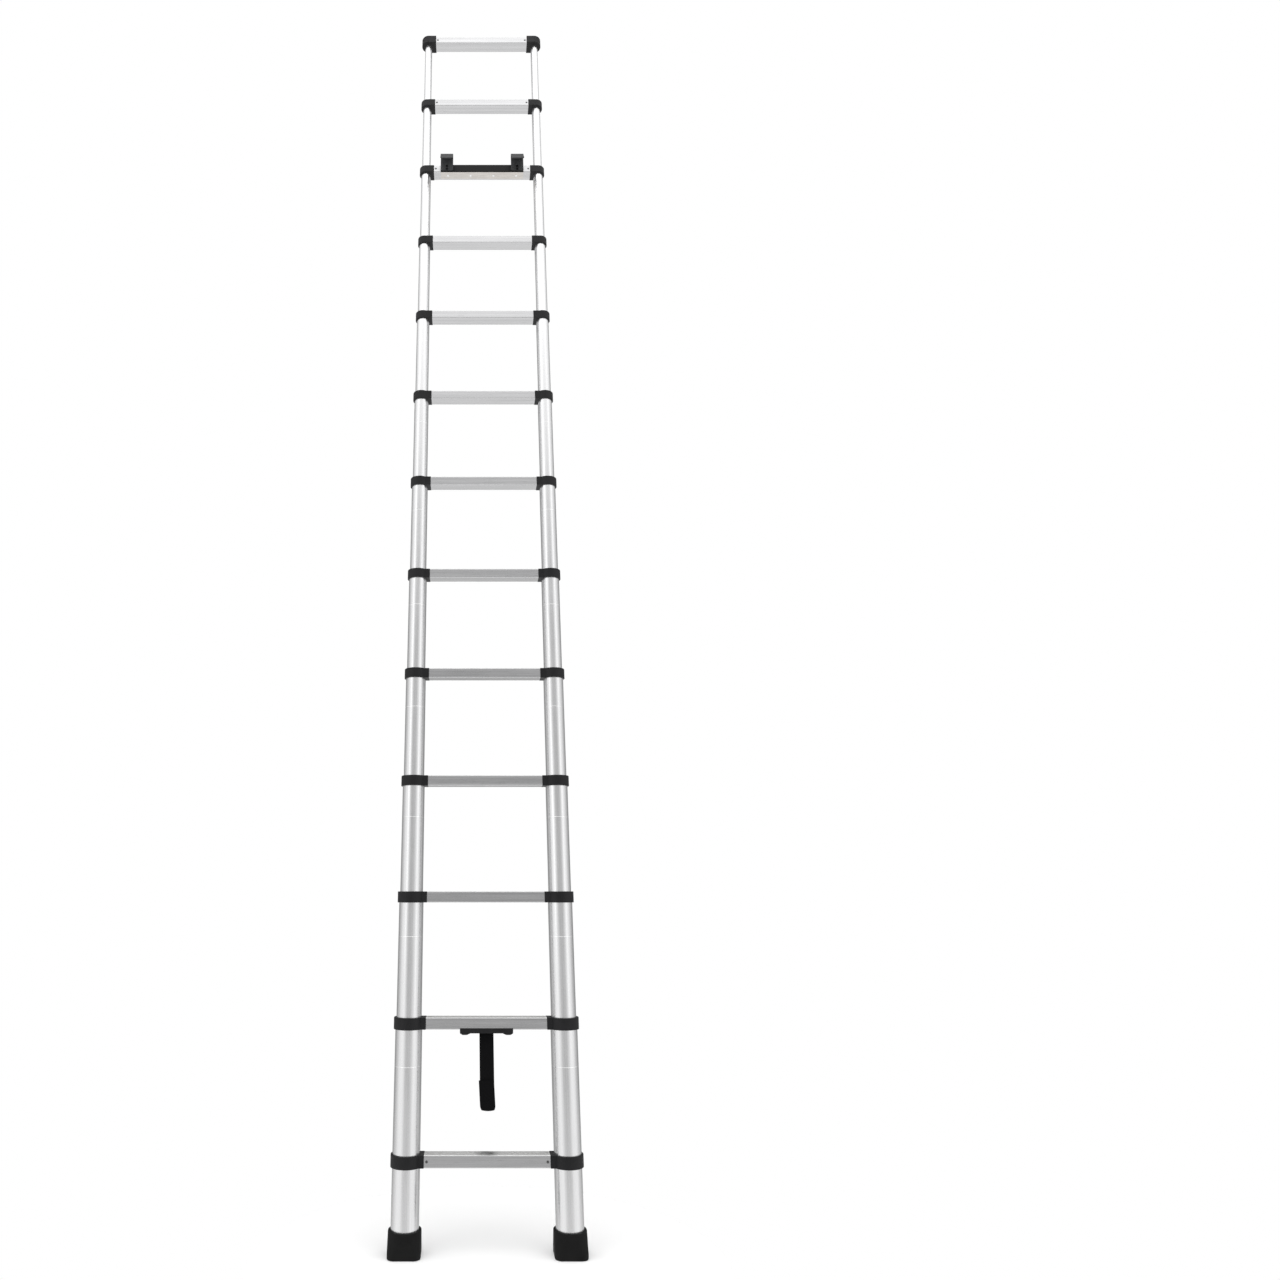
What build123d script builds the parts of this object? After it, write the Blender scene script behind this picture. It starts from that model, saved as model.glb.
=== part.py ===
from build123d import *
from math import cos, radians, sin
import os

# A telescoping extension ladder, pulled out to its full height.
# Millimetres. X runs across the ladder, -Y is its front and +Z is up. The origin is on the floor,
# below the middle of the whole object's box.

# ---- Ladder ----
rung_count = 13
rung_pitch = 296.0          # rung to rung, pulled out
closed_gap = 3.0            # between two rungs, pushed together
first_rung_height = 192.0
stile_spacing = 388.0       # between the centre lines of the two stiles

# ---- Stile tubes ----
largest_tube = 67.0         # outer diameter of the lowest tube
tube_wall = 1.5
tube_gap = 0.4              # radial gap between a tube and the next one inside it
tube_overlap = 69.0         # length of a tube that stays inside the one below
ring_drop = 95.0            # from a collar's centre down to the rolled ring on its tube
ring_width = 1.2
ring_depth = 0.35

# ---- Rungs ----
rung_depth = 40.0
rung_height = 27.0
rung_wall = 1.5
rung_corner = 2.2
rung_inner_corner = 1.4
tread_groove_count = 7
tread_groove_pitch = 4.4
tread_groove_width = 1.4
tread_groove_depth = 0.45

# ---- Collars and top end caps ----
collar_wall = 4.2
lug_wall = 2.2              # how far a lug stands out past the front and back of its rung
lug_reach = 5.5             # from the outside of the ring to the end of the rung
collar_lip = 3.0            # thickness of the lip over the end of the tube
collar_edge = 1.0
collar_fit = 0.05           # radial clearance where a collar grips its own tube
lip_gap = 0.35              # radial clearance from the lip to the tube that slides through it
spigot_length = 14.0
spigot_fit = 0.15
spigot_wall = 3.6
pocket_depth = 3.0          # how far a spigot's pocket goes on past the end of the rung
cap_extra = 1.8             # how far an end cap stands out past a collar of the same tube
cap_rise = 5.0              # how far an end cap stands up above its rung
cap_top = 4.0
cap_edge = 2.4
flute_count = 17
flute_angle = 11.5
flute_width = 1.4
flute_depth = 0.8

# ---- Guide bushes ----
bush_gap = 0.15             # radial running clearance in the tube outside
bush_fit = 0.05
bush_flange = 8.0
bush_spigot = 12.0
bush_wall = 2.4

# ---- Feet ----
foot_wall = 5.75
foot_height = 52.0
foot_corner = 17.0
foot_edge = 2.0
foot_rim = 1.5
sole_height = 12.0
sole_thickness = 7.0
sole_groove_count = 4
sole_groove_pitch = 14.0
sole_groove_width = 3.5
sole_groove_depth = 1.8

# ---- Hook bracket and hooks, on the front of the third rung from the top ----
bracket_inset = 23.3        # from a collar's lug to the end of the bracket
bracket_thickness = 1.8
bracket_rise = 1.0          # how far the plate stands up above the rung
bracket_flange = 32.0       # how far the flange reaches under the rung
bracket_screw_count = 4
bracket_screw_margin = 24.5 # from the end of the bracket to the first screw
bracket_screw_inset = 18.0  # from the front of the rung
bracket_screw_shank = 4.0
bracket_screw_head = 7.2
bracket_screw_length = 10.0
hook_width = 43.0
hook_thickness = 3.0
hook_rise = 38.0            # top of the hook above the top of the bracket
hook_low_margin = 2.5       # from the bottom of the rung to the lower end of the upright leg
hook_leg_length = 60.0      # straight part of the front leg
hook_leg_angle = 36.0       # front leg from the vertical
hook_bend = 5.0             # inside radius
hook_corner = 5.0
rivet_spacing = 12.0
rivet_shank = 4.8
rivet_head = 9.0
rivet_head_height = 1.8
rivet_rim = 0.3             # straight part of a rivet's head, below its dome
rivet_fit = 0.05

# ---- Strap and the plate that holds it, under the second rung ----
plate_length = 132.0
plate_thickness = 8.0
plate_lobe_drop = 3.5       # how far the lobes hang below the plate
plate_lobe_length = 26.0
plate_lip = 3.0             # how far the plate's lip covers the front of the rung
plate_lip_thickness = 2.2
plate_corner = 3.0
strap_width = 38.0
strap_thickness = 5.0
strap_drop = 180.0          # from the bottom of the rung to the end of the strap
strap_top_gap = 1.0
strap_slot_gap = 0.6
plate_screw_spacing = 62.0
plate_screw_shank = 3.6
plate_screw_head = 7.0
plate_screw_length = 13.0
screw_fit = 0.05
screw_recess_width = 1.0
screw_recess_depth = 0.7

# ---- Release latches, on the back of the second rung ----
pin_diameter = 8.0
pin_gap = 0.3               # radial clearance of the pin in its holes
pin_tip_gap = 0.15          # from the locked pin's tip to the inside of the tube it locks
pin_travel = 5.0
pin_length = 46.0
web_length = 10.0
web_height = 6.0
web_gap = 0.4
pad_gap = 0.4
pad_length = 26.0
pad_height = 17.0
pad_thickness = 4.5
pad_edge = 0.8
rib_count = 4
rib_pitch = 5.0
rib_height = 1.2
rib_width = 1.6

# ---- Worked out from the above ----
closed_pitch = rung_height + closed_gap
travel = rung_pitch - closed_pitch
stage_count = rung_count - 1
latch_rung = 2
strap_rung = 2
hook_rung = rung_count - 2
stile_x = stile_spacing / 2
foot_width = largest_tube + 2 * foot_wall
hook_outside_bend = hook_bend + hook_thickness
hook_reach = (
    rung_depth / 2
    + bracket_thickness
    + hook_outside_bend * (1 + cos(radians(hook_leg_angle)))
    + hook_leg_length * sin(radians(hook_leg_angle))
)
stile_y = (hook_reach - foot_width / 2) / 2


def tube_diameter(stage):
    """Outer diameter of a stile tube; stage 1 is the lowest and largest."""
    return largest_tube - 2 * (tube_wall + tube_gap) * (stage - 1)


def rung_z(number):
    """Height of a rung's centre line."""
    return first_rung_height + (number - 1) * rung_pitch


def rung_stage(number):
    """The stage whose tubes carry this rung."""
    return max(number - 1, 1)


def tube_top(stage):
    """A tube ends under the lip of its own collar."""
    lip = cap_top - cap_rise if stage == stage_count else collar_lip
    return rung_z(stage + 1) + rung_height / 2 - lip


def tube_bottom(stage):
    """The lowest tube stands on the sole of its foot."""
    if stage == 1:
        return sole_thickness
    return rung_z(stage) + rung_height / 2 - collar_lip - tube_overlap


def collar_diameter(number):
    """A collar is never slimmer than the lug that covers the end of its rung."""
    ring = tube_diameter(rung_stage(number)) + 2 * collar_wall
    return max(ring, rung_depth + 2 * lug_wall)


def lug_face(number):
    """Distance from the middle of the ladder to the end of a rung."""
    return stile_x - collar_diameter(number) / 2 - lug_reach


def locked_tip():
    """Where the tip of a lock pin stands when it fills the wall of the second tube."""
    return stile_x - tube_diameter(latch_rung) / 2 + tube_wall - pin_tip_gap


def finish(piece, name):
    """Label a finished sub-part and write it."""
    piece.part.label = name
    export_step(piece.part, f"parts/{name}.step")


# ---- Stile tubes ----
def stile_tubes(stage):
    diameter = tube_diameter(stage)
    bottom = tube_bottom(stage)
    with BuildPart() as tubes:
        with BuildSketch(Plane.XY.offset(bottom)):
            with Locations((stile_x, stile_y)):
                Circle(diameter / 2)
                Circle(diameter / 2 - tube_wall, mode=Mode.SUBTRACT)
        extrude(amount=tube_top(stage) - bottom)
        with BuildSketch(Plane.XY.offset(rung_z(stage + 1) - ring_drop - ring_width / 2)):
            with Locations((stile_x, stile_y)):
                Circle(diameter / 2 + tube_wall)
                Circle(diameter / 2 - ring_depth, mode=Mode.SUBTRACT)
        extrude(amount=ring_width, mode=Mode.SUBTRACT)
        for height in pin_hole_heights(stage):
            with BuildSketch(Plane.YZ.offset(stile_x - diameter)):
                with Locations((stile_y, height)):
                    Circle(pin_diameter / 2 + pin_gap)
            extrude(amount=diameter, mode=Mode.SUBTRACT)
        mirror(about=Plane.YZ)
    return tubes


def pin_hole_heights(stage):
    """The second rung's lock pins pass through the lowest tube into the second one, which has one
    hole for the pulled-out position and one for the pushed-in position."""
    if stage == latch_rung - 1:
        return [rung_z(latch_rung)]
    if stage == latch_rung:
        return [rung_z(latch_rung), rung_z(latch_rung) + travel]
    return []


# ---- Guide bushes ----
def guide_bushes(stage):
    outside = tube_diameter(stage - 1) / 2 - tube_wall - bush_gap
    inside = tube_diameter(stage) / 2 - tube_wall - bush_fit
    bottom = tube_bottom(stage)
    with BuildPart() as bushes:
        with BuildSketch(Plane.XY.offset(bottom - bush_flange)):
            with Locations((stile_x, stile_y)):
                Circle(outside)
        extrude(amount=bush_flange)
        with BuildSketch(Plane.XY.offset(bottom)):
            with Locations((stile_x, stile_y)):
                Circle(inside)
        extrude(amount=bush_spigot)
        with BuildSketch(Plane.XY.offset(bottom - bush_flange)):
            with Locations((stile_x, stile_y)):
                Circle(inside - bush_wall)
        extrude(amount=bush_flange + bush_spigot, mode=Mode.SUBTRACT)
        mirror(about=Plane.YZ)
    return bushes


# ---- Rungs ----
def rung(number):
    height = rung_z(number)
    half = lug_face(number)
    with BuildPart() as bar:
        with BuildSketch(Plane.YZ.offset(-half)):
            with Locations((stile_y, height)):
                RectangleRounded(rung_depth, rung_height, rung_corner)
                RectangleRounded(
                    rung_depth - 2 * rung_wall,
                    rung_height - 2 * rung_wall,
                    rung_inner_corner,
                    mode=Mode.SUBTRACT,
                )
            with Locations((stile_y, height + rung_height / 2)):
                with GridLocations(tread_groove_pitch, 1, tread_groove_count, 1):
                    Rectangle(tread_groove_width, 2 * tread_groove_depth, mode=Mode.SUBTRACT)
        extrude(amount=2 * half)
        if number == latch_rung:
            with BuildSketch(Plane.XZ.offset(-stile_y)):
                for side in (-1, 1):
                    with Locations((side * (web_x() + pin_travel / 2), height)):
                        Rectangle(web_length + pin_travel + 2 * web_gap, web_height + 2 * web_gap)
            extrude(amount=-rung_depth, mode=Mode.SUBTRACT)
        for x, y, radius in screw_holes(number):
            with BuildSketch(Plane.XY.offset(height - rung_height)):
                with Locations((x, y)):
                    Circle(radius)
            extrude(amount=rung_height, mode=Mode.SUBTRACT)
    return bar


def screw_holes(number):
    """Holes in the underside of a rung, as x, y and radius."""
    holes = []
    if number == hook_rung:
        for x in bracket_screw_places():
            holes.append((x, bracket_screw_y(), bracket_screw_shank / 2 + screw_fit))
    if number == strap_rung:
        for x in (-plate_screw_spacing / 2, plate_screw_spacing / 2):
            holes.append((x, stile_y, plate_screw_shank / 2 + screw_fit))
    return holes


# ---- Collars and top end caps ----
def collars(number):
    capped = number == rung_count
    height = rung_z(number)
    bottom = height - rung_height / 2
    tube = tube_diameter(rung_stage(number))
    extra = cap_extra if capped else 0
    outside = collar_diameter(number) / 2 + extra
    total = rung_height + (cap_rise if capped else 0)
    face = lug_face(number)
    with BuildPart() as pair:
        with BuildSketch(Plane.XY.offset(bottom)):
            with Locations((stile_x, stile_y)):
                Circle(outside)
            with Locations(((face + stile_x) / 2, stile_y)):
                Rectangle(stile_x - face, rung_depth + 2 * (lug_wall + extra))
        extrude(amount=total)
        fillet(pair.edges().group_by(Axis.Z)[-1], cap_edge if capped else collar_edge)
        fillet(pair.edges().group_by(Axis.Z)[0], collar_edge)
        if capped:
            with BuildSketch(Plane.XY.offset(bottom)):
                with Locations((stile_x, stile_y)):
                    with PolarLocations(
                        outside,
                        flute_count,
                        start_angle=-flute_angle * (flute_count - 1) / 2,
                        angular_range=flute_angle * flute_count,
                    ):
                        Rectangle(2 * flute_depth, flute_width)
            extrude(amount=total - cap_edge, mode=Mode.SUBTRACT)
        with BuildSketch(Plane.YZ.offset(face)):
            with Locations((stile_y, height)):
                RectangleRounded(
                    spigot_size(rung_depth), spigot_size(rung_height), rung_inner_corner
                )
        extrude(amount=-spigot_length)
        with BuildSketch(Plane.YZ.offset(face + pocket_depth)):
            with Locations((stile_y, height)):
                Rectangle(
                    spigot_size(rung_depth) - 2 * spigot_wall,
                    spigot_size(rung_height) - 2 * spigot_wall,
                )
        extrude(amount=-spigot_length - pocket_depth, mode=Mode.SUBTRACT)
        with BuildSketch(Plane.XY.offset(bottom)):
            with Locations((stile_x, stile_y)):
                Circle(tube / 2 + collar_fit)
        extrude(amount=collar_bore(number), mode=Mode.SUBTRACT)
        if 1 < number < rung_count:
            with BuildSketch(Plane.XY.offset(bottom)):
                with Locations((stile_x, stile_y)):
                    Circle(tube_diameter(number) / 2 + lip_gap)
            extrude(amount=rung_height, mode=Mode.SUBTRACT)
        if number == latch_rung:
            with BuildSketch(Plane.YZ.offset(face)):
                with Locations((stile_y, height)):
                    Circle(pin_diameter / 2 + pin_gap)
            extrude(amount=stile_x - face, mode=Mode.SUBTRACT)
        mirror(about=Plane.YZ)
    return pair


def spigot_size(rung_size):
    """Outside of a spigot that fits in a rung of this outside size."""
    return rung_size - 2 * (rung_wall + spigot_fit)


def collar_bore(number):
    """Height of the bore that grips the tube: right through the lowest collar, which clamps the
    tube halfway up, and up to the lip or the top on the others."""
    if number == 1:
        return rung_height
    return tube_top(number - 1) - rung_z(number) + rung_height / 2


# ---- Feet ----
def rubber_feet():
    with BuildPart() as feet:
        with BuildSketch(Plane.XY):
            with Locations((stile_x, stile_y)):
                RectangleRounded(foot_width, foot_width, foot_corner)
        extrude(amount=sole_height)
        with BuildSketch(Plane.XY.offset(sole_height)):
            with Locations((stile_x, stile_y)):
                RectangleRounded(foot_width, foot_width, foot_corner)
        with BuildSketch(Plane.XY.offset(foot_height)):
            with Locations((stile_x, stile_y)):
                RectangleRounded(foot_width, foot_width, foot_width / 2 - foot_edge)
        loft()
        fillet(feet.edges().group_by(Axis.Z)[-1], foot_rim)
        fillet(feet.edges().group_by(Axis.Z)[0], foot_edge)
        with BuildSketch(Plane.XY.offset(sole_thickness)):
            with Locations((stile_x, stile_y)):
                Circle(largest_tube / 2 + collar_fit)
        extrude(amount=foot_height, mode=Mode.SUBTRACT)
        with BuildSketch(Plane.XY):
            with Locations((stile_x, stile_y)):
                with GridLocations(1, sole_groove_pitch, 1, sole_groove_count):
                    Rectangle(2 * foot_width, sole_groove_width)
        extrude(amount=sole_groove_depth, mode=Mode.SUBTRACT)
        mirror(about=Plane.YZ)
    return feet


# ---- Countersunk screws, pointing up ----
def countersunk_screws(places, shank, head, length):
    """Screws with their heads down, at these points; a point is the middle of a head's face."""
    cone = (head - shank) / 2
    with BuildPart() as screws:
        with Locations(*places):
            Cone(head / 2, shank / 2, cone, align=(Align.CENTER, Align.CENTER, Align.MIN))
            Cylinder(shank / 2, length, align=(Align.CENTER, Align.CENTER, Align.MIN))
            Box(
                head / 2,
                screw_recess_width,
                2 * screw_recess_depth,
                mode=Mode.SUBTRACT,
            )
            Box(
                screw_recess_width,
                head / 2,
                2 * screw_recess_depth,
                mode=Mode.SUBTRACT,
            )
    return screws


def countersink(places, shank, head):
    """Cuts the seats of the countersunk screws out of the part being built."""
    with Locations(*places):
        Cone(
            head / 2 + screw_fit,
            shank / 2 + screw_fit,
            (head - shank) / 2,
            align=(Align.CENTER, Align.CENTER, Align.MIN),
            mode=Mode.SUBTRACT,
        )
        Cylinder(
            shank / 2 + screw_fit,
            head + plate_thickness,
            align=(Align.CENTER, Align.CENTER, Align.MIN),
            mode=Mode.SUBTRACT,
        )


# ---- Hook bracket ----
def bracket_length():
    """The bracket fits between the two collars of its rung."""
    return 2 * (lug_face(hook_rung) - bracket_inset)


def bracket_screw_places():
    first = bracket_screw_margin - bracket_length() / 2
    spacing = -2 * first / (bracket_screw_count - 1)
    return [first + spacing * index for index in range(bracket_screw_count)]


def bracket_screw_y():
    return stile_y - rung_depth / 2 + bracket_screw_inset


def bracket_screw_points():
    z = rung_z(hook_rung) - rung_height / 2 - bracket_thickness
    return [(x, bracket_screw_y(), z) for x in bracket_screw_places()]


def hook_x():
    return (bracket_length() - hook_width) / 2


def hook_bracket():
    front = stile_y - rung_depth / 2
    low = rung_z(hook_rung) - rung_height / 2
    high = rung_z(hook_rung) + rung_height / 2 + bracket_rise
    with BuildPart() as bracket:
        with BuildSketch(Plane.YZ):
            with BuildLine():
                Polyline(
                    (front, high),
                    (front - bracket_thickness, high),
                    (front - bracket_thickness, low - bracket_thickness),
                    (front + bracket_flange, low - bracket_thickness),
                    (front + bracket_flange, low),
                    (front, low),
                    close=True,
                )
            make_face()
        extrude(amount=bracket_length() / 2, both=True)
        outside_bend = bracket.edges().filter_by(Axis.X).group_by(Axis.Z)[0].sort_by(Axis.Y)[0]
        fillet(outside_bend, bracket_thickness)
        with BuildSketch(Plane.XZ.offset(-front)):
            for side in (-1, 1):
                with Locations(*[(side * hook_x(), z) for z in rivet_heights()]):
                    Circle(rivet_shank / 2 + rivet_fit)
        extrude(amount=2 * bracket_thickness, mode=Mode.SUBTRACT)
        countersink(bracket_screw_points(), bracket_screw_shank, bracket_screw_head)
    return bracket


# ---- Hooks ----
def rivet_heights():
    return [rung_z(hook_rung) - rivet_spacing / 2, rung_z(hook_rung) + rivet_spacing / 2]


def hook(side):
    back = stile_y - rung_depth / 2 - bracket_thickness
    low = rung_z(hook_rung) - rung_height / 2 + hook_low_margin
    top = rung_z(hook_rung) + rung_height / 2 + bracket_rise + hook_rise
    middle = side * hook_x()
    with BuildPart() as strip:
        with BuildSketch(Plane.YZ.offset(middle)):
            with BuildLine():
                upright = Line((back, low), (back, top - hook_outside_bend))
                bend = JernArc(upright @ 1, upright % 1, hook_outside_bend, 180 - hook_leg_angle)
                PolarLine(bend @ 1, hook_leg_length, direction=bend % 1)
                offset(amount=hook_thickness, side=Side.LEFT)
            make_face()
        extrude(amount=hook_width / 2, both=True)
        fillet(strip.edges().group_by(SortBy.LENGTH)[0], hook_corner)
        with BuildSketch(Plane.XZ.offset(-back)):
            with Locations(*[(middle, z) for z in rivet_heights()]):
                Circle(rivet_shank / 2 + rivet_fit)
        extrude(amount=2 * hook_thickness, mode=Mode.SUBTRACT)
    return strip


def hook_rivets():
    back = stile_y - rung_depth / 2
    grip = bracket_thickness + hook_thickness
    points = [(side * hook_x(), z) for side in (-1, 1) for z in rivet_heights()]
    with BuildPart() as rivets:
        with BuildSketch(Plane.XZ.offset(-back)):
            with Locations(*points):
                Circle(rivet_shank / 2)
        extrude(amount=grip)
        with BuildSketch(Plane.XZ.offset(grip - back)):
            with Locations(*points):
                Circle(rivet_head / 2)
        extrude(amount=rivet_head_height)
        fillet(rivets.edges().group_by(Axis.Y)[0], rivet_head_height - rivet_rim)
    return rivets


# ---- Strap plate and strap ----
def plate_screw_points():
    z = rung_z(strap_rung) - rung_height / 2 - plate_thickness
    return [(side * plate_screw_spacing / 2, stile_y, z) for side in (-1, 1)]


def strap_plate():
    top = rung_z(strap_rung) - rung_height / 2
    bottom = top - plate_thickness
    lobe = bottom - plate_lobe_drop
    end = plate_length / 2
    front = stile_y - rung_depth / 2
    with BuildPart() as plate:
        with BuildSketch(Plane.XZ.offset(-front + plate_lip_thickness)):
            with BuildLine():
                Polyline(
                    (-end, top + plate_lip),
                    (end, top + plate_lip),
                    (end, bottom),
                    (end - plate_lobe_length / 4, lobe),
                    (end - 2 * plate_lobe_length / 3, lobe),
                    (end - plate_lobe_length, bottom),
                    (plate_lobe_length - end, bottom),
                    (2 * plate_lobe_length / 3 - end, lobe),
                    (plate_lobe_length / 4 - end, lobe),
                    (-end, bottom),
                    close=True,
                )
            outline = make_face()
            lower_corners = outline.vertices().group_by(Axis.Y)[0] + outline.vertices().group_by(Axis.Y)[1]
            fillet(lower_corners, plate_corner)
        extrude(amount=-rung_depth - plate_lip_thickness)
        with BuildSketch(Plane.XY.offset(top)):
            with Locations((0, front + rung_depth)):
                Rectangle(2 * plate_length, 2 * rung_depth)
        extrude(amount=2 * plate_lip, mode=Mode.SUBTRACT)
        with BuildSketch(Plane.XY.offset(lobe)):
            with Locations((0, stile_y)):
                Rectangle(strap_width + 2 * strap_slot_gap, strap_thickness + 2 * strap_slot_gap)
        extrude(amount=rung_height, mode=Mode.SUBTRACT)
        countersink(plate_screw_points(), plate_screw_shank, plate_screw_head)
    return plate


def strap():
    top = rung_z(strap_rung) - rung_height / 2
    with BuildPart() as webbing:
        with BuildSketch(Plane.XY.offset(top - strap_top_gap)):
            with Locations((0, stile_y)):
                Rectangle(strap_width, strap_thickness)
        extrude(amount=strap_top_gap - strap_drop)
    return webbing


# ---- Release latches ----
def web_x():
    """Middle of the web that joins a retracted pin to its thumb pad."""
    return locked_tip() - pin_travel - pin_length + web_length / 2


def release_latch(side):
    height = rung_z(latch_rung)
    tip = locked_tip() - pin_travel
    pad_front = stile_y + rung_depth / 2 + pad_gap
    with BuildPart() as latch:
        with BuildSketch(Plane.YZ.offset(side * (tip - pin_length))):
            with Locations((stile_y, height)):
                Circle(pin_diameter / 2)
        extrude(amount=side * pin_length)
        with BuildSketch(Plane.XZ.offset(-stile_y)):
            with Locations((side * web_x(), height)):
                Rectangle(web_length, web_height)
        extrude(amount=stile_y - pad_front)
        with BuildSketch(Plane.XZ.offset(-pad_front)):
            with Locations((side * web_x(), height)):
                RectangleRounded(pad_length, pad_height, 2 * pad_edge)
        extrude(amount=-pad_thickness)
        fillet(latch.edges().group_by(Axis.Y)[-1], pad_edge)
        with BuildSketch(Plane.XZ.offset(-pad_front - pad_thickness)):
            with Locations((side * web_x(), height)):
                with GridLocations(rib_pitch, 1, rib_count, 1):
                    Rectangle(rib_width, pad_height - 4 * pad_edge)
        extrude(amount=-rib_height)
    return latch


os.makedirs("parts", exist_ok=True)
for stage in range(1, stage_count + 1):
    finish(stile_tubes(stage), f"stile_tubes_{stage:02d}")
for stage in range(2, stage_count + 1):
    finish(guide_bushes(stage), f"guide_bushes_{stage:02d}")
for number in range(1, rung_count + 1):
    finish(rung(number), f"rung_{number:02d}")
for number in range(1, rung_count):
    finish(collars(number), f"stile_collars_{number:02d}")
finish(collars(rung_count), "top_end_caps")
finish(rubber_feet(), "rubber_feet")
finish(hook_bracket(), "hook_bracket")
finish(
    countersunk_screws(
        bracket_screw_points(), bracket_screw_shank, bracket_screw_head, bracket_screw_length
    ),
    "bracket_screws",
)
finish(hook(-1), "left_hook")
finish(hook(1), "right_hook")
finish(hook_rivets(), "hook_rivets")
finish(strap_plate(), "strap_plate")
finish(
    countersunk_screws(
        plate_screw_points(), plate_screw_shank, plate_screw_head, plate_screw_length
    ),
    "plate_screws",
)
finish(strap(), "strap")
finish(release_latch(-1), "left_release_latch")
finish(release_latch(1), "right_release_latch")
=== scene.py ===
import bpy
import math
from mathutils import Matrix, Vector


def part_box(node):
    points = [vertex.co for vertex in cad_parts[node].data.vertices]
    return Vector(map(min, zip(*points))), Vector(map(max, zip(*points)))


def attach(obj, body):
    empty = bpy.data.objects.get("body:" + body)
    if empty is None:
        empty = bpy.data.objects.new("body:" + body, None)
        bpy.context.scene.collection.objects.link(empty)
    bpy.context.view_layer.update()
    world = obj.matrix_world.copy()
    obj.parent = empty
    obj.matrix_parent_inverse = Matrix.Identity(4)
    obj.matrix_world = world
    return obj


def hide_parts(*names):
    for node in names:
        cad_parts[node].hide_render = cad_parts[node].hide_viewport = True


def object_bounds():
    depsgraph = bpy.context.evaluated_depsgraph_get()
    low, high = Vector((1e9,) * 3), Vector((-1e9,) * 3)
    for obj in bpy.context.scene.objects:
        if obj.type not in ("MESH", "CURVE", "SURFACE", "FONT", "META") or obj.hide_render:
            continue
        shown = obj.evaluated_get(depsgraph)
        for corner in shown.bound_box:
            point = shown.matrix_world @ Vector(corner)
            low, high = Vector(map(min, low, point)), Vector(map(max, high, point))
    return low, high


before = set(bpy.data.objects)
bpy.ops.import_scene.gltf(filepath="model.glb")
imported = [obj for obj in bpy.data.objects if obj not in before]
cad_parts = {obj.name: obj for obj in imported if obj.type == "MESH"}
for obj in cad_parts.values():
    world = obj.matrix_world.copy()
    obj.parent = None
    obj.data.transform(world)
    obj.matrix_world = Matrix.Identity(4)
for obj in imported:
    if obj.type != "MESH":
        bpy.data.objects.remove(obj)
cad_low, cad_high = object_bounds()

# The visual model of a telescoping ladder, in metres, in the frame of its CAD model.

# ---- Camera and light ----
CAMERA_PLACE = (-0.039, -2.551, 0.80)
CAMERA_PITCH = 0.3441           # radians above the horizon
CAMERA_LENS = 25.93
CAMERA_SHIFT = (0.1322, -0.0625)
FLOOR_RADIUS = 0.55
FLOOR_GAP = 0.0005
FLOOR_GLOW = 0.19
FLOOR_COLOUR = (0.85, 0.85, 0.85)
# name, place, target, size, power
SOFTBOXES = (
    ("key_left", (-3.4, -3.0, 2.6), (0, 0, 1.8), (1.2, 4.5), 9),
    ("fill_right", (3.6, -2.6, 2.2), (0, 0, 1.8), (1.2, 4.5), 6),
)
ROOM_STRENGTH = 2.1
# position round the room from the back, over the left, the camera's side and the right; level
WALL_LEVELS = (
    (0.00, 0.17), (0.12, 0.17), (0.22, 0.36), (0.30, 0.56), (0.37, 0.56), (0.46, 0.28),
    (0.54, 0.28), (0.63, 0.54), (0.70, 0.54), (0.78, 0.33), (0.88, 0.16), (1.00, 0.16),
)
# the ceiling, with positions as for the walls
CEILING_LEVELS = (
    (0.00, 0.16), (0.10, 0.16), (0.20, 0.50), (0.30, 0.70), (0.42, 1.00),
    (0.58, 1.00), (0.70, 0.70), (0.80, 0.50), (0.90, 0.16), (1.00, 0.16),
)
GROUND_LEVEL = 0.62
# position from straight down to straight up; share of the ground's and of the ceiling's light
GROUND_SHARE = ((0.25, 1.0), (0.42, 0.0))
CEILING_SHARE = ((0.64, 0.0), (0.88, 1.0))

# ---- Strap ----
LAYER_THICKNESS = 0.0016
LAYER_GAP = 0.0006
TAIL_LENGTH = 0.066
TAIL_WIDTH = 0.0405
TAIL_TURN = math.radians(2.9)
STITCH_PITCH = 0.0026
STITCH_LENGTH = 0.0018
STITCH_RADIUS = 0.00035
STITCH_DROP = 0.004             # below the tail's upper edge
BACK_LAYER_SHORT = 0.004        # how far each layer ends above the strap's lower end
FRONT_LAYER_SHORT = 0.006

# ---- Small pieces ----
SCREWED_RUNGS = {1: "section_01", 11: "section_10", 12: "section_11", 13: "section_12"}
SCREW_RADIUS = 0.0033
SCREW_DOME = 0.0011
SCREW_INSET = 0.0065            # from the end of the rung that shows
SLOT_WIDTH = 0.00042            # half the width of the cross slot, and half its length
SLOT_REACH = 0.0019
SLOT_DEPTH = 0.0009
COLLAR_FRONT = 0.0005           # a collar's front stands at least this far before its rung
RING_WIDTH = 0.0012
RING_RISE = 0.00022
RING_SINK = 0.00003
RING_DROP = 0.095               # below the middle of the rung above
# radius of the darker patch in the middle of rung 1's top face
DARK_PATCH_RADIUS = 0.034


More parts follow.
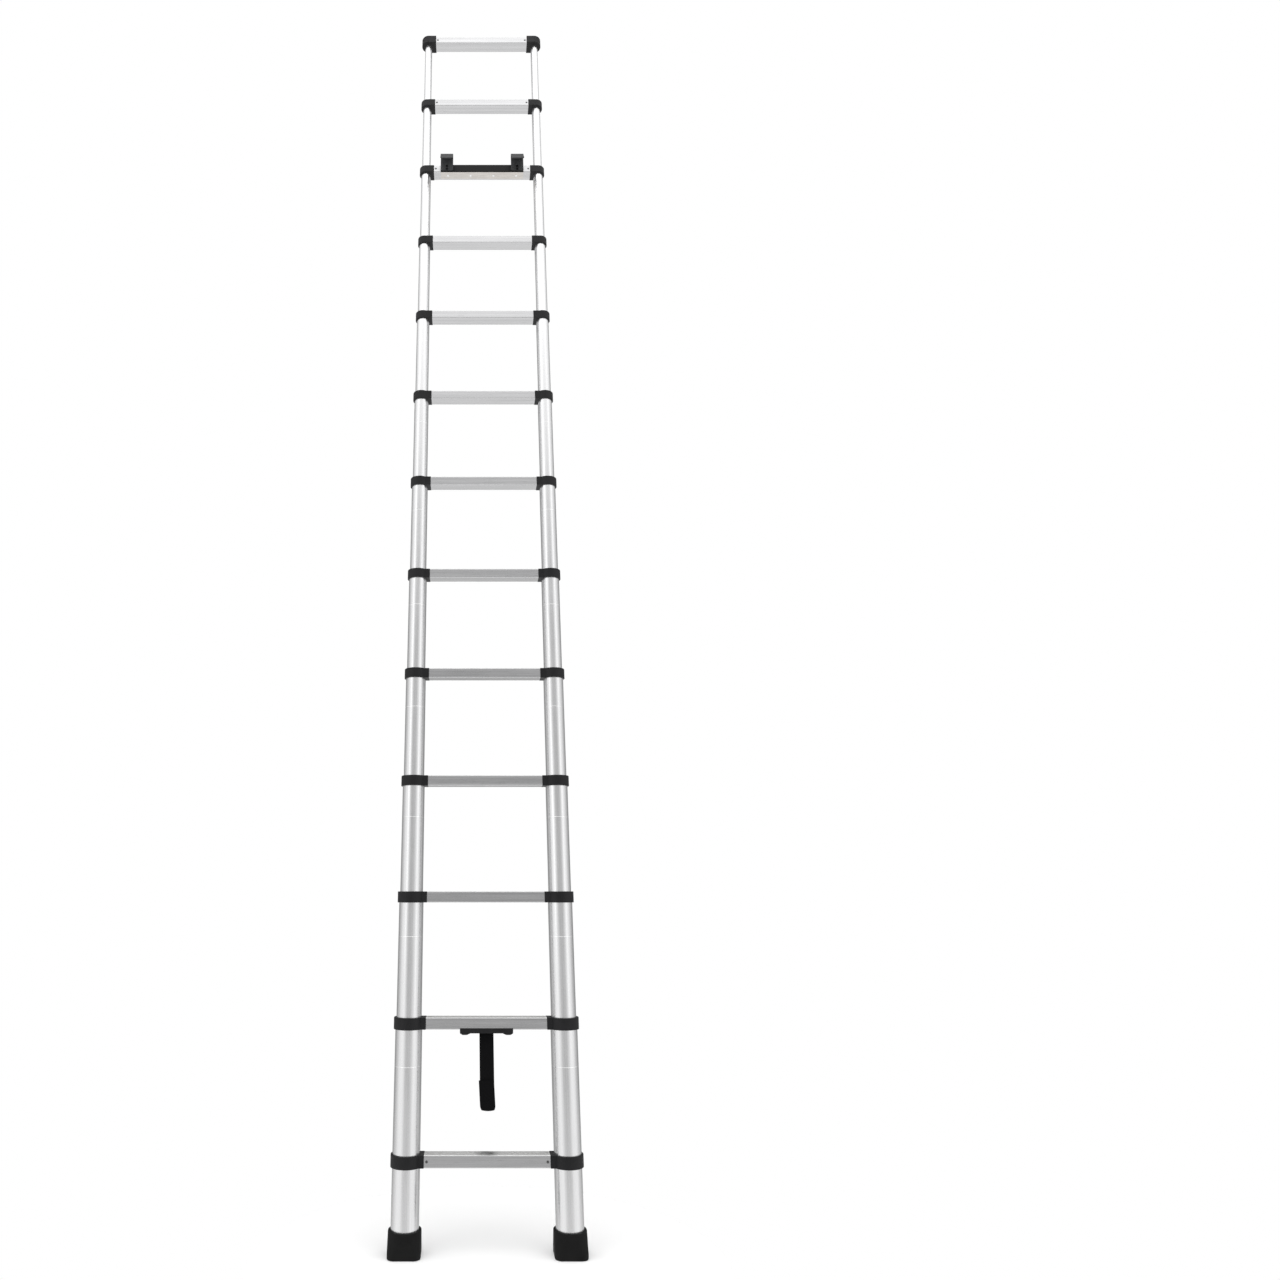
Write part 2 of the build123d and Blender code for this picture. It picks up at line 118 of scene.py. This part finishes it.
# ---- Node helpers ----
class Nodes:
    """A material's node tree, with short calls for the nodes used here."""

    def __init__(self, name):
        self.material = bpy.data.materials.new(name)
        self.material.use_nodes = True
        self.tree = self.material.node_tree
        self.shader = self.tree.nodes["Principled BSDF"]
        self.where = self.tree.nodes.new("ShaderNodeTexCoord").outputs["Object"]

    def set(self, **values):
        for key, value in values.items():
            self.shader.inputs[key.replace("_", " ")].default_value = value

    def link(self, source, target):
        self.tree.links.new(source, target)

    def noise(self, scale, detail=4.0, rough=0.55, stretch=(1, 1, 1)):
        mapping = self.tree.nodes.new("ShaderNodeMapping")
        mapping.inputs["Scale"].default_value = stretch
        self.link(self.where, mapping.inputs["Vector"])
        noise = self.tree.nodes.new("ShaderNodeTexNoise")
        noise.inputs["Scale"].default_value = scale
        noise.inputs["Detail"].default_value = detail
        noise.inputs["Roughness"].default_value = rough
        self.link(mapping.outputs["Vector"], noise.inputs["Vector"])
        return noise.outputs["Fac"]

    def wave(self, scale, direction, distortion=0.0):
        wave = self.tree.nodes.new("ShaderNodeTexWave")
        wave.bands_direction = direction
        wave.inputs["Scale"].default_value = scale
        wave.inputs["Distortion"].default_value = distortion
        self.link(self.where, wave.inputs["Vector"])
        return wave.outputs["Fac"]

    def math(self, operation, first, second):
        node = self.tree.nodes.new("ShaderNodeMath")
        node.operation = operation
        for socket, value in zip(node.inputs, (first, second)):
            if isinstance(value, (int, float)):
                socket.default_value = value
            else:
                self.link(value, socket)
        return node.outputs["Value"]

    def blend(self, first, second, share):
        """share of the first value and the rest of the second."""
        return self.math("ADD", self.math("MULTIPLY", first, share),
                         self.math("MULTIPLY", second, 1 - share))

    def span(self, value, low, high, start=0.3, end=0.7):
        node = self.tree.nodes.new("ShaderNodeMapRange")
        for key, number in (("From Min", start), ("From Max", end), ("To Min", low), ("To Max", high)):
            node.inputs[key].default_value = number
        self.link(value, node.inputs["Value"])
        return node.outputs["Result"]

    def ramp(self, value, dark, light, start=0.3, end=0.7):
        node = self.tree.nodes.new("ShaderNodeValToRGB")
        node.color_ramp.elements[0].position = start
        node.color_ramp.elements[1].position = end
        node.color_ramp.elements[0].color = (*dark, 1)
        node.color_ramp.elements[1].color = (*light, 1)
        self.link(value, node.inputs["Fac"])
        return node.outputs["Color"]

    def mix(self, factor, first, second):
        node = self.tree.nodes.new("ShaderNodeMix")
        node.data_type = "RGBA"
        self.link(factor, node.inputs["Factor"])
        for socket, value in ((node.inputs[6], first), (node.inputs[7], second)):
            if isinstance(value, tuple):
                socket.default_value = (*value, 1)
            else:
                self.link(value, socket)
        return node.outputs[2]

    def bump(self, height, strength, distance, under=None):
        node = self.tree.nodes.new("ShaderNodeBump")
        node.inputs["Strength"].default_value = strength
        node.inputs["Distance"].default_value = distance
        self.link(height, node.inputs["Height"])
        if under is not None:
            self.link(under, node.inputs["Normal"])
        return node.outputs["Normal"]

    def finish(self, colour, roughness, normal):
        self.link(colour, self.shader.inputs["Base Color"])
        self.link(roughness, self.shader.inputs["Roughness"])
        self.link(normal, self.shader.inputs["Normal"])
        return self.material


# ---- Materials ----
def satin_metal(name, along, dark, light, rough, dark_patch=None, tread_and_painted_top_light=None):
    """Drawn aluminium: fine streaks along one axis, faint handling marks and a few scratches.
    The faces that are stood on take a matt tread finish and a paler colour, which is partly a painted
    highlight from above; a darker patch, given by its middle and radius, can lie on one of them."""
    n = Nodes(name)
    n.set(Metallic=1.0)
    streak = tuple(0.012 if axis == along else 1.0 for axis in "XYZ")
    fine = n.noise(900, 5, 0.65, streak)
    broad = n.noise(140, 3, 0.5, streak)
    marks = n.noise(9, 4, 0.6)
    scratch = n.noise(420, 2, 0.5, tuple(0.05 if axis == along else 1.0 for axis in "XYZ"))
    colour = n.ramp(n.blend(fine, broad, 0.45), dark, light)
    worn = n.span(scratch, 0.0, 0.45, 0.66, 0.74)
    colour = n.mix(worn, colour, tuple(0.82 * value for value in dark))
    roughness = n.math("ADD", n.span(fine, rough - 0.04, rough + 0.04), n.span(marks, 0.0, 0.05))
    # Upward faces: a matt tread finish, and a paler colour that paints light from above onto them.
    if tread_and_painted_top_light:
        facing = n.tree.nodes.new("ShaderNodeSeparateXYZ")
        n.link(n.tree.nodes.new("ShaderNodeNewGeometry").outputs["Normal"], facing.inputs[0])
        matt_and_painted_top_light = n.span(facing.outputs["Z"], 0.0, 1.0, 0.6, 0.9)
        colour = n.mix(matt_and_painted_top_light, colour, n.ramp(fine, tuple(0.92 * value for value in tread_and_painted_top_light), tread_and_painted_top_light))
        n.link(n.math("SUBTRACT", 1.0, n.math("MULTIPLY", matt_and_painted_top_light, 0.7)), n.shader.inputs["Metallic"])
        roughness = n.math("ADD", roughness, n.math("MULTIPLY", matt_and_painted_top_light, 0.22))
    # A darker patch round a given middle, on the top face only, broken up by noise.
    if dark_patch:
        place, radius = dark_patch
        shift = n.tree.nodes.new("ShaderNodeVectorMath")
        shift.operation = "DISTANCE"
        shift.inputs[1].default_value = place
        n.link(n.where, shift.inputs[0])
        near = n.span(shift.outputs["Value"], 1.0, 0.0, 0.2 * radius, radius)
        axes = n.tree.nodes.new("ShaderNodeSeparateXYZ")
        n.link(n.where, axes.inputs[0])
        upper = n.math("GREATER_THAN", axes.outputs["Z"], place.z - 0.001)
        patch = n.math("MULTIPLY", near, n.span(n.noise(60, 5, 0.6), 0.5, 1.0, 0.35, 0.65))
        colour = n.mix(n.math("MULTIPLY", patch, upper), colour, (0.05, 0.05, 0.05))
    normal = n.bump(fine, 0.05, 0.0001)
    normal = n.bump(scratch, 0.03, 0.0001, normal)
    return n.finish(colour, roughness, normal)


def grained(name, dark, light, rough, grain, depth, **fixed):
    """Moulded plastic, rubber or powder coat: an even grain, with faint dusty and rubbed patches."""
    n = Nodes(name)
    n.set(**fixed)
    patches = n.noise(22, 5, 0.6)
    cells = n.noise(grain, 3, 0.7)
    colour = n.ramp(n.blend(patches, cells, 0.7), dark, light)
    roughness = n.math("ADD", n.span(patches, rough - 0.05, rough + 0.05), n.span(cells, -0.03, 0.03))
    normal = n.bump(cells, 0.35, depth)
    normal = n.bump(patches, 0.05, 8 * depth, normal)
    return n.finish(colour, roughness, normal)


def webbing(name):
    n = Nodes(name)
    n.set(Sheen_Weight=0.02, Sheen_Roughness=0.5, Specular_IOR_Level=0.06)
    weave = n.math("MULTIPLY", n.wave(190, "X", 0.4), n.wave(150, "Z", 0.4))
    fuzz = n.noise(2600, 3, 0.7)
    broad = n.noise(45, 4, 0.6)
    colour = n.ramp(n.blend(fuzz, broad, 0.6), (0.0022, 0.0022, 0.0024), (0.0055, 0.0055, 0.006))
    normal = n.bump(weave, 0.5, 0.0004)
    normal = n.bump(fuzz, 0.4, 0.0003, normal)
    return n.finish(colour, n.span(broad, 0.82, 0.94), normal)


tube_metal = satin_metal("satin_tube", "Z", (0.64, 0.64, 0.645), (0.74, 0.74, 0.745), 0.24)
RUNG_LOOK = ("X", (0.40, 0.40, 0.405), (0.54, 0.54, 0.545), 0.26)
# colour of the rungs' upward faces: a matt tread, painted paler as if lit from above
TREAD_AND_PAINTED_TOP_LIGHT_COLOUR = (0.74, 0.74, 0.73)
rung_metal = satin_metal("brushed_rung", *RUNG_LOOK, tread_and_painted_top_light=TREAD_AND_PAINTED_TOP_LIGHT_COLOUR)
rung_low, rung_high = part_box("rung_01")
step_middle = Vector(((rung_low.x + rung_high.x) / 2, (rung_low.y + rung_high.y) / 2, rung_high.z))
# Rung 1 has a darker patch in the middle of its top face.
dark_patch_rung_metal = satin_metal(
    "brushed_rung_dark_patch", *RUNG_LOOK, dark_patch=(step_middle, DARK_PATCH_RADIUS), tread_and_painted_top_light=TREAD_AND_PAINTED_TOP_LIGHT_COLOUR
)
bead_metal = satin_metal("polished_ring", "Z", (0.88, 0.88, 0.88), (0.97, 0.97, 0.97), 0.18)
zinc = satin_metal("zinc_plate", "X", (0.60, 0.61, 0.62), (0.82, 0.83, 0.84), 0.28)
dark_steel = grained(
    "dark_steel", (0.05, 0.05, 0.05), (0.14, 0.14, 0.14), 0.42, 1500, 0.00004, Metallic=0.6
)
collar_plastic = grained(
    "collar_plastic", (0.004, 0.004, 0.0045), (0.011, 0.011, 0.012), 0.48, 1300, 0.00012,
    Specular_IOR_Level=0.20
)
cap_plastic = grained(
    "cap_plastic", (0.004, 0.004, 0.0045), (0.010, 0.010, 0.011), 0.46, 1300, 0.00010,
    Specular_IOR_Level=0.20
)
white_plastic = grained("white_plastic", (0.60, 0.60, 0.58), (0.74, 0.74, 0.71), 0.45, 1100, 0.00006)
latch_plastic = grained("latch_plastic", (0.16, 0.16, 0.17), (0.24, 0.24, 0.25), 0.48, 1200, 0.00010)
rubber = grained(
    "foot_rubber", (0.003, 0.003, 0.003), (0.009, 0.009, 0.009), 0.62, 800, 0.00020, Specular_IOR_Level=0.12
)
bracket_paint = grained(
    "bracket_paint", (0.002, 0.002, 0.0022), (0.006, 0.006, 0.0065), 0.44, 1800, 0.00008,
    Specular_IOR_Level=0.15
)


def two_tone_plate(name, corner):
    """The bracket: black paint on its front, bare metal on the flange behind and below corner."""
    n = Nodes(name)
    n.set(Specular_IOR_Level=0.15)
    axes = n.tree.nodes.new("ShaderNodeSeparateXYZ")
    n.link(n.where, axes.inputs[0])
    behind = n.math("GREATER_THAN", axes.outputs["Y"], corner.y)
    below = n.math("LESS_THAN", axes.outputs["Z"], corner.z)
    bare = n.math("MULTIPLY", behind, below)
    grain = n.noise(700, 4, 0.6, (0.05, 1.0, 1.0))
    cells = n.noise(1800, 3, 0.7)
    paint = n.ramp(cells, (0.002, 0.002, 0.0022), (0.006, 0.006, 0.0065))
    metal = n.ramp(grain, (0.42, 0.40, 0.38), (0.58, 0.56, 0.53))
    n.link(bare, n.shader.inputs["Metallic"])
    roughness = n.math("ADD", n.span(cells, 0.38, 0.46), n.math("MULTIPLY", bare, -0.08))
    return n.finish(n.mix(bare, paint, metal), roughness, n.bump(cells, 0.3, 0.00006))


rung_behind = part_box("rung_11")
bracket_finish = two_tone_plate(
    "bracket_plate", Vector((0, rung_behind[0].y + 0.0005, rung_behind[0].z + 0.0005))
)
hook_paint = grained(
    "hook_powder_coat", (0.026, 0.027, 0.028), (0.050, 0.051, 0.053), 0.52, 2200, 0.00020,
    Specular_IOR_Level=0.30
)
strap_cloth = webbing("strap_webbing")
thread = grained(
    "strap_thread", (0.005, 0.005, 0.0055), (0.010, 0.010, 0.011), 0.70, 2400, 0.00008,
    Specular_IOR_Level=0.10
)

FINISHES = {
    "stile_tubes": tube_metal,
    "rung": rung_metal,
    "rung_01": dark_patch_rung_metal,
    "stile_collars": collar_plastic,
    "top_end_caps": cap_plastic,
    "guide_bushes": white_plastic,
    "rubber_feet": rubber,
    "hook_bracket": bracket_finish,
    "bracket_screws": zinc,
    "left_hook": hook_paint,
    "right_hook": hook_paint,
    "hook_rivets": bracket_paint,
    "strap_plate": collar_plastic,
    "plate_screws": zinc,
    "left_release_latch": latch_plastic,
    "right_release_latch": latch_plastic,
}


def finish_of(name):
    return FINISHES.get(name) or FINISHES.get(name.rsplit("_", 1)[0])


for node_name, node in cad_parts.items():
    finish = finish_of(node_name)
    if finish is None:
        continue
    for slot in node.material_slots:
        slot.material = finish


# ---- Mesh helpers ----
def piece(name, vertices, faces, material, body):
    mesh = bpy.data.meshes.new(name)
    mesh.from_pydata(vertices, [], faces)
    mesh.validate()
    mesh.polygons.foreach_set("use_smooth", [True] * len(mesh.polygons))
    mesh.materials.append(material)
    made = bpy.data.objects.new(name, mesh)
    bpy.context.scene.collection.objects.link(made)
    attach(made, body)
    return made


def closed_grid(rows):
    """Vertices and faces of a closed tube of equal rows of points, capped at both ends."""
    count = len(rows[0])
    vertices = [point for row in rows for point in row]
    faces = [
        (r * count + c, r * count + (c + 1) % count, (r + 1) * count + (c + 1) % count, (r + 1) * count + c)
        for r in range(len(rows) - 1)
        for c in range(count)
    ]
    faces.append(tuple(reversed(range(count))))
    faces.append(tuple(range((len(rows) - 1) * count, len(rows) * count)))
    return vertices, faces


def quads(faces, base, rows, count):
    """Adds the faces between rows of count points each, which start at vertex base."""
    for r in range(rows - 1):
        for c in range(count):
            d = (c + 1) % count
            faces.append((base + r * count + c, base + r * count + d,
                          base + (r + 1) * count + d, base + (r + 1) * count + c))


def band(name, top, length, width, front, turn=0.0, sway=0.0, round_end=0.012):
    """One layer of webbing that hangs from top, with soft edges and a rounded lower end."""
    rows = []
    steps, across = 64, 14
    for r in range(steps + 1):
        down = length * r / steps
        left = length - down
        narrow = 1.0
        if left < round_end:
            narrow = 1.0 - 0.16 * (1.0 - left / round_end) ** 2
        middle_x = top[0] + down * math.tan(turn)
        bow = sway * math.sin(math.pi * down / length)
        ripple = 0.00012 * math.sin(0.9 * r)
        loop = []
        for side in (1, -1):
            for c in range(across):
                u = side * (2 * (c + 0.5) / across - 1)
                thick = 0.5 * LAYER_THICKNESS * (1 - 0.45 * abs(u) ** 8)
                sag = 0.0022 * u * u * max(0.0, 1.0 - left / round_end)
                loop.append((
                    middle_x + 0.5 * width * narrow * u,
                    front + bow + ripple - side * thick,
                    top[2] - down + sag,
                ))
        rows.append(loop)
    vertices, faces = closed_grid(rows)
    return piece(name, vertices, faces, strap_cloth, "section_01")


# ---- Strap ----
strap_low, strap_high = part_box("strap")
strap_middle = (strap_low + strap_high) / 2
strap_length = strap_high.z - strap_low.z
strap_width = strap_high.x - strap_low.x
layer_step = LAYER_THICKNESS + LAYER_GAP
strap_top = (strap_middle.x, strap_middle.y, strap_high.z)
back_layer = band("strap_back_layer", strap_top, strap_length - BACK_LAYER_SHORT, strap_width,
                  strap_middle.y + layer_step / 2, math.radians(0.5), 0.0004)
front_layer = band("strap_front_layer", strap_top, strap_length - FRONT_LAYER_SHORT, strap_width,
                   strap_middle.y - layer_step / 2, math.radians(0.4), 0.0002)
tail_top = (strap_middle.x - 0.0006, strap_middle.y, strap_low.z + TAIL_LENGTH)
tail = band("strap_tail", tail_top, TAIL_LENGTH, TAIL_WIDTH,
            strap_middle.y - 1.5 * layer_step, TAIL_TURN, 0.0003)
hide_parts("strap")


def stitches():
    """A row of thread stitches just below the tail's upper edge."""
    vertices, faces = [], []
    count = int(0.8 * TAIL_WIDTH / STITCH_PITCH)
    around = 8
    for index in range(count):
        x = tail_top[0] + (index - (count - 1) / 2) * STITCH_PITCH
        base = len(vertices)
        for r in range(7):
            t = r / 6
            radius = STITCH_RADIUS * math.sqrt(max(0.04, 1 - (2 * t - 1) ** 4))
            for c in range(around):
                a = 2 * math.pi * c / around
                vertices.append((
                    x + (t - 0.5) * STITCH_LENGTH,
                    strap_middle.y - 1.5 * layer_step - LAYER_THICKNESS / 2 + radius * math.cos(a),
                    tail_top[2] - STITCH_DROP + radius * math.sin(a),
                ))
        quads(faces, base, 7, around)
        faces.append(tuple(base + c for c in reversed(range(around))))
        faces.append(tuple(base + 6 * around + c for c in range(around)))
    return piece("strap_stitches", vertices, faces, thread, "section_01")


stitch_row = stitches()


# ---- Rung screws ----
def rung_screws(number, body):
    low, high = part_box(f"rung_{number:02d}")
    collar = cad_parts["top_end_caps" if number == 13 else f"stile_collars_{number:02d}"]
    inner = min(abs(v.co.x) for v in collar.data.vertices if v.co.y < low.y - COLLAR_FRONT)
    vertices, faces = [], []
    around, rings = 48, 14
    for side in (-1, 1):
        middle = Vector((side * (inner - SCREW_INSET), low.y, (low.z + high.z) / 2))
        base = len(vertices)
        for r in range(rings + 1):
            radius = SCREW_RADIUS * (1 - r / (rings + 1))
            for c in range(around):
                a = 2 * math.pi * c / around
                x, z = radius * math.cos(a), radius * math.sin(a)
                rise = SCREW_DOME * (1 - (radius / SCREW_RADIUS) ** 3) ** 0.5
                slot = min(abs(x), abs(z)) < SLOT_WIDTH and max(abs(x), abs(z)) < SLOT_REACH
                sunk = SLOT_DEPTH if slot else 0.0
                vertices.append((middle.x + x, middle.y - rise + sunk, middle.z + z))
        quads(faces, base, rings + 1, around)
        faces.append(tuple(base + rings * around + c for c in range(around)))
        faces.append(tuple(base + c for c in reversed(range(around))))
    return piece(f"rung_screws_{number:02d}", vertices, faces, dark_steel, body)


for rung_number, rung_body in SCREWED_RUNGS.items():
    rung_screws(rung_number, rung_body)


# ---- Rolled rings ----
def rolled_rings(stage):
    """A polished bead in the groove of both tubes of a stage, flush with them."""
    low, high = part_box(f"stile_tubes_{stage:02d}")
    rung_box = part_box(f"rung_{stage + 1:02d}")
    height = (rung_box[0].z + rung_box[1].z) / 2 - RING_DROP
    radius = (high.y - low.y) / 2
    middle_x = high.x - radius
    middle_y = (high.y + low.y) / 2
    profile = [(RING_WIDTH / 2 * math.cos(t), RING_RISE * math.sin(t))
               for t in (math.pi * k / 6 for k in range(12))]
    vertices, faces = [], []
    around = 96
    for side in (-1, 1):
        base = len(vertices)
        for s in range(around):
            a = 2 * math.pi * s / around
            for up, out in profile:
                r = radius - RING_SINK - RING_RISE + out
                vertices.append((side * middle_x + r * math.cos(a), middle_y + r * math.sin(a), height + up))
        count = len(profile)
        for s in range(around):
            for k in range(count):
                s2, k2 = (s + 1) % around, (k + 1) % count
                faces.append((base + s * count + k, base + s2 * count + k,
                              base + s2 * count + k2, base + s * count + k2))
    return piece(f"rolled_rings_{stage:02d}", vertices, faces, bead_metal,
                 f"section_{stage:02d}")


for tube_stage in range(1, 13):
    rolled_rings(tube_stage)


# ---- Floor ----
floor_finish = Nodes("pale_floor")
floor_finish.set(Roughness=0.85, Emission_Strength=FLOOR_GLOW)
floor_finish.shader.inputs["Base Color"].default_value = (*FLOOR_COLOUR, 1)
floor_finish.shader.inputs["Emission Color"].default_value = (1, 1, 1, 1)
bpy.ops.mesh.primitive_circle_add(
    vertices=128, radius=FLOOR_RADIUS, fill_type="NGON", location=(0, 0, cad_low.z - FLOOR_GAP)
)
floor = bpy.context.active_object
floor.name = "studio_floor"
floor.data.materials.append(floor_finish.material)
floor.visible_glossy = False


# ---- Light ----
def softbox(name, place, target, size, power):
    light = bpy.data.lights.new(name, "AREA")
    light.shape = "RECTANGLE"
    light.size, light.size_y = size
    light.energy = power
    lamp = bpy.data.objects.new(name, light)
    bpy.context.scene.collection.objects.link(lamp)
    lamp.location = place
    lamp.rotation_euler = (Vector(target) - Vector(place)).to_track_quat("-Z", "Y").to_euler()


for box_name, place, target, size, power in SOFTBOXES:
    softbox(box_name, place, target, size, power)


def studio_world():
    """A white room: bright walls to the left and right, greyer behind the camera and behind the
    ladder, with a bright ceiling. The camera itself sees plain white."""
    world = bpy.data.worlds.new("studio")
    bpy.context.scene.world = world
    world.use_nodes = True
    tree = world.node_tree

    def node(kind, **inputs):
        made = tree.nodes.new(kind)
        for key, value in inputs.items():
            made.inputs[key.replace("_", " ")].default_value = value
        return made

    def ramp(value, stops):
        made = tree.nodes.new("ShaderNodeValToRGB")
        made.color_ramp.interpolation = "EASE"
        while len(made.color_ramp.elements) < len(stops):
            made.color_ramp.elements.new(0.5)
        for element, (position, level) in zip(made.color_ramp.elements, stops):
            element.position = position
            element.color = (level, level, level, 1)
        tree.links.new(value, made.inputs["Fac"])
        return made.outputs["Color"]

    direction = node("ShaderNodeTexCoord").outputs["Generated"]
    split = node("ShaderNodeSeparateXYZ")
    tree.links.new(direction, split.inputs["Vector"])
    backwards = node("ShaderNodeMath")
    backwards.operation = "MULTIPLY"
    backwards.inputs[1].default_value = -1.0
    tree.links.new(split.outputs["Y"], backwards.inputs[0])
    around = node("ShaderNodeMath")
    around.operation = "ARCTAN2"
    tree.links.new(split.outputs["X"], around.inputs[0])
    tree.links.new(backwards.outputs["Value"], around.inputs[1])
    share = node("ShaderNodeMapRange", From_Min=-math.pi, From_Max=math.pi)
    tree.links.new(around.outputs["Value"], share.inputs["Value"])
    walls = ramp(share.outputs["Result"], WALL_LEVELS)

    height = node("ShaderNodeMapRange", From_Min=-1.0, From_Max=1.0)
    tree.links.new(split.outputs["Z"], height.inputs["Value"])

    def mix(share_stops, first, second):
        made = tree.nodes.new("ShaderNodeMix")
        made.data_type = "RGBA"
        tree.links.new(ramp(height.outputs["Result"], share_stops), made.inputs["Factor"])
        tree.links.new(first, made.inputs[6])
        if isinstance(second, float):
            made.inputs[7].default_value = (second, second, second, 1)
        else:
            tree.links.new(second, made.inputs[7])
        return made.outputs[2]

    lower = mix(GROUND_SHARE, walls, GROUND_LEVEL)
    whole = mix(CEILING_SHARE, lower, ramp(share.outputs["Result"], CEILING_LEVELS))

    room = tree.nodes["Background"]
    room.inputs["Strength"].default_value = ROOM_STRENGTH
    tree.links.new(whole, room.inputs["Color"])
    white = node("ShaderNodeBackground", Color=(1, 1, 1, 1), Strength=1.0)
    choose = node("ShaderNodeMixShader")
    tree.links.new(node("ShaderNodeLightPath").outputs["Is Camera Ray"], choose.inputs["Fac"])
    tree.links.new(room.outputs["Background"], choose.inputs[1])
    tree.links.new(white.outputs["Background"], choose.inputs[2])
    tree.links.new(choose.outputs["Shader"], tree.nodes["World Output"].inputs["Surface"])


studio_world()

# ---- Camera ----
camera_data = bpy.data.cameras.new("camera")
camera_data.lens = CAMERA_LENS
camera_data.sensor_width = 36.0
camera_data.shift_x, camera_data.shift_y = CAMERA_SHIFT
camera = bpy.data.objects.new("camera", camera_data)
bpy.context.scene.collection.objects.link(camera)
camera.location = CAMERA_PLACE
camera.rotation_euler = (math.pi / 2 + CAMERA_PITCH, 0, 0)
bpy.context.scene.camera = camera
bpy.context.scene.view_settings.view_transform = "Standard"
